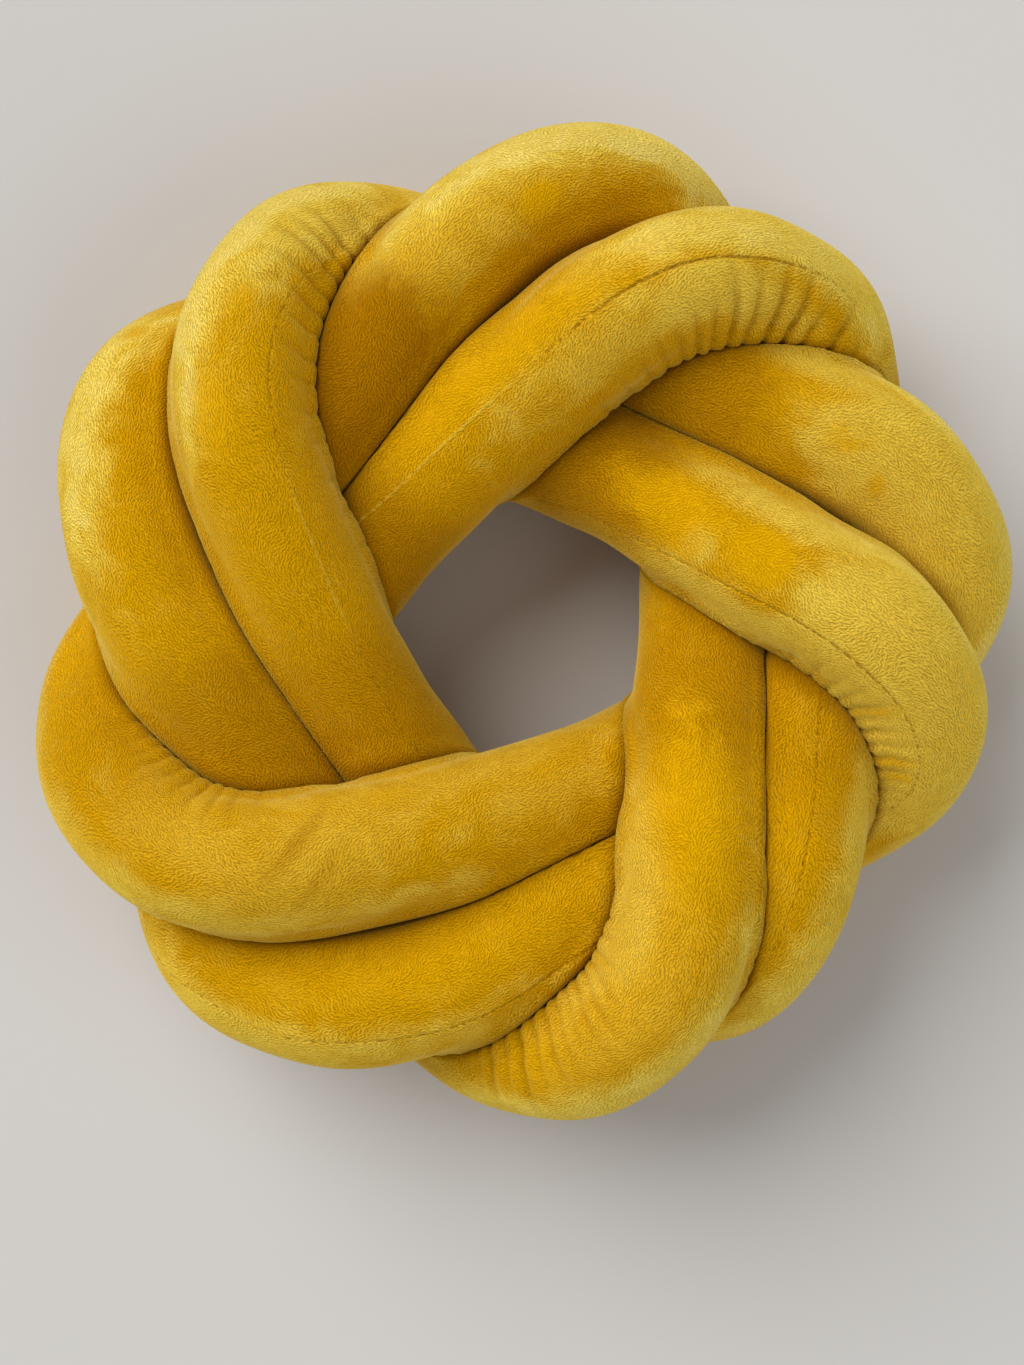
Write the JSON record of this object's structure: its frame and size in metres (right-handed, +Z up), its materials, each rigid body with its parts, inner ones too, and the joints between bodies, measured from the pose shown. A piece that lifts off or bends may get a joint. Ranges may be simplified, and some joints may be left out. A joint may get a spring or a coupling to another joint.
{
  "type": "knot cushion",
  "caption": "Plump filled velvet tube tied as an endless ring knot of doubled lobes around an open middle, lying on its back.",
  "frame": {"origin": "on the surface that the cushion rests on, below the middle of its outline", "axes": "+Z up, out of the cushion's face; +Y towards the top of its outline as seen from the face, +X to the right"},
  "size_m": [0.4023, 0.4088, 0.1261],
  "materials": {
    "velvet": "short plush pile, golden mustard, with a pale sheen along its edges"
  },
  "bodies": {
    "root": {"knot_tube": "velvet"}
  },
  "joints": []
}
